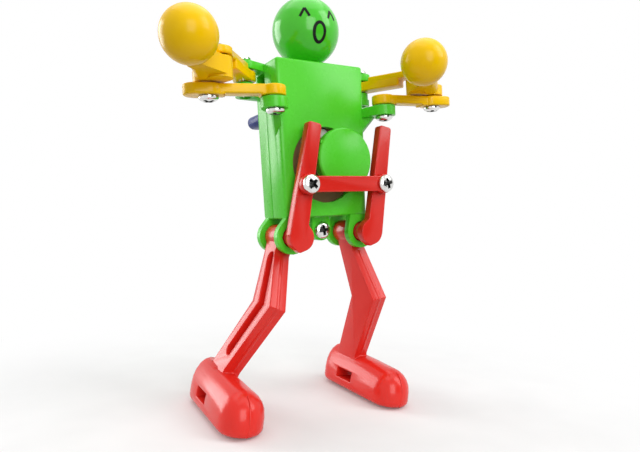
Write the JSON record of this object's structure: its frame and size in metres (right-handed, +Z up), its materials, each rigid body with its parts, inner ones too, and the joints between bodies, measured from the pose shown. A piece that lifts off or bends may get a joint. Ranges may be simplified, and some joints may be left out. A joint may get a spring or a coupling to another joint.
{
  "type": "wind-up dancing robot toy",
  "caption": "Clockwork toy robot with a ball head; a cam between two levers rocks its legs sideways and flat linkages swing its ball fists.",
  "frame": {"origin": "on the floor, under the middle of the toy's outline", "axes": "+Z up; the robot looks along -Y and its own left hand is at +X"},
  "size_m": [0.0752, 0.043, 0.0989],
  "materials": {
    "green_plastic": "bright green moulded plastic, glossy",
    "red_plastic": "red moulded plastic, glossy",
    "yellow_plastic": "warm yellow moulded plastic, glossy",
    "nickel": "bright nickel-plated screws",
    "dark_steel": "dark drawn pin",
    "spring_steel": "bare steel",
    "brass": "turned brass",
    "brown_plastic": "brown moulded plastic",
    "white_plastic": "natural white acetal",
    "blue_plastic": "dark blue moulded plastic"
  },
  "bodies": {
    "body": {"front_shell": "green_plastic", "rear_shell": "green_plastic", "head": "green_plastic", "body_screw": "nickel", "motor_front_plate": "brown_plastic", "motor_rear_plate": "yellow_plastic", "mainspring": "spring_steel", "rear_screw_left": "nickel", "rear_screw_right": "nickel"},
    "winding": {"winding_knob": "blue_plastic", "winding_arbor": "spring_steel"},
    "great_wheel": {"great_wheel": "white_plastic"},
    "transfer_gear": {"transfer_gear": "white_plastic"},
    "cam": {"output_shaft": "brass", "cam_disc": "green_plastic"},
    "leg_left": {"leg_left": "red_plastic", "lever_left": "red_plastic", "link_screw_left": "nickel"},
    "leg_right": {"leg_right": "red_plastic", "lever_right": "red_plastic", "link_screw_right": "nickel"},
    "link": {"link_bar": "red_plastic"},
    "front_bar_left": {"front_bar_left": "yellow_plastic", "shoulder_screw_left": "nickel"},
    "fist_left": {"fist_left": "yellow_plastic", "wrist_screw_left": "nickel", "elbow_pin_left": "dark_steel"},
    "rear_bar_left": {"rear_bar_left": "yellow_plastic"},
    "front_bar_right": {"front_bar_right": "yellow_plastic", "shoulder_screw_right": "nickel"},
    "fist_right": {"fist_right": "yellow_plastic", "wrist_screw_right": "nickel", "elbow_pin_right": "dark_steel"},
    "rear_bar_right": {"rear_bar_right": "yellow_plastic"}
  },
  "joints": [
    {"name": "hip_left", "type": "hinge", "parent": "body", "child": "leg_left", "pos_m": [0.01702, 0.00058, 0.04233], "axis": [0, 1, 0], "range_deg": [-23, 0]},
    {"name": "hip_right", "type": "hinge", "parent": "body", "child": "leg_right", "pos_m": [-0.00248, 0.00058, 0.04036], "axis": [0, 1, 0], "range_deg": [-23.05, 0]},
    {"name": "link_pivot", "type": "hinge", "parent": "leg_left", "child": "link", "pos_m": [0.01886, 0.00058, 0.0541], "axis": [0, 1, 0], "range_deg": [0, 21.63]},
    {"name": "cam_turn", "type": "hinge", "parent": "body", "child": "cam", "pos_m": [0.0056, 0.00058, 0.05786], "axis": [0, 1, 0], "range_deg": [-146.05, 0]},
    {"name": "transfer_turn", "type": "hinge", "parent": "body", "child": "transfer_gear", "pos_m": [0.00577, 0.00058, 0.06546], "axis": [0, 1, 0], "range_deg": [0, 52.19]},
    {"name": "great_wheel_turn", "type": "hinge", "parent": "body", "child": "great_wheel", "pos_m": [0.00016, 0.00058, 0.06997], "axis": [0, 1, 0], "range_deg": [-20.1, 0]},
    {"name": "winding", "type": "hinge", "parent": "body", "child": "winding", "pos_m": [0.00016, 0.00058, 0.06997], "axis": [0, 1, 0], "continuous": true},
    {"name": "arm_left", "type": "hinge", "parent": "body", "child": "front_bar_left", "pos_m": [0.02167, -0.00332, 0.04702], "axis": [-0.1003, 0, 0.995], "range_deg": [0, 30]},
    {"name": "wrist_left", "type": "hinge", "parent": "front_bar_left", "child": "fist_left", "pos_m": [0.03525, -0.00598, 0.04838], "axis": [-0.1003, 0, 0.995], "range_deg": [0, 49.25]},
    {"name": "rear_bar_left", "type": "hinge", "parent": "body", "child": "rear_bar_left", "pos_m": [0.02336, 0.00798, 0.04719], "axis": [-0.1003, 0, 0.995], "range_deg": [0, 12.35]},
    {"name": "arm_right", "type": "hinge", "parent": "body", "child": "front_bar_right", "pos_m": [-0.00798, -0.00332, 0.04403], "axis": [-0.1003, 0, 0.995], "range_deg": [0, 30]},
    {"name": "wrist_right", "type": "hinge", "parent": "front_bar_right", "child": "fist_right", "pos_m": [-0.0212, 0.00074, 0.04269], "axis": [-0.1003, 0, 0.995], "range_deg": [0, 51.05]},
    {"name": "rear_bar_right", "type": "hinge", "parent": "body", "child": "rear_bar_right", "pos_m": [-0.00967, 0.00798, 0.04386], "axis": [-0.1003, 0, 0.995], "range_deg": [0, 15.05]}
  ],
  "couplings": [
    {"joint": "hip_right", "follows": "hip_left", "ratio": 1},
    {"joint": "link_pivot", "follows": "hip_left", "ratio": -0.93812},
    {"joint": "cam_turn", "follows": "hip_left", "ratio": 6.3478},
    {"joint": "transfer_turn", "follows": "hip_left", "ratio": -2.2671},
    {"joint": "great_wheel_turn", "follows": "hip_left", "ratio": 0.87195},
    {"joint": "wrist_left", "follows": "arm_left", "ratio": 1.64},
    {"joint": "rear_bar_left", "follows": "arm_left", "ratio": 0.41},
    {"joint": "wrist_right", "follows": "arm_right", "ratio": 1.7},
    {"joint": "rear_bar_right", "follows": "arm_right", "ratio": 0.5}
  ]
}
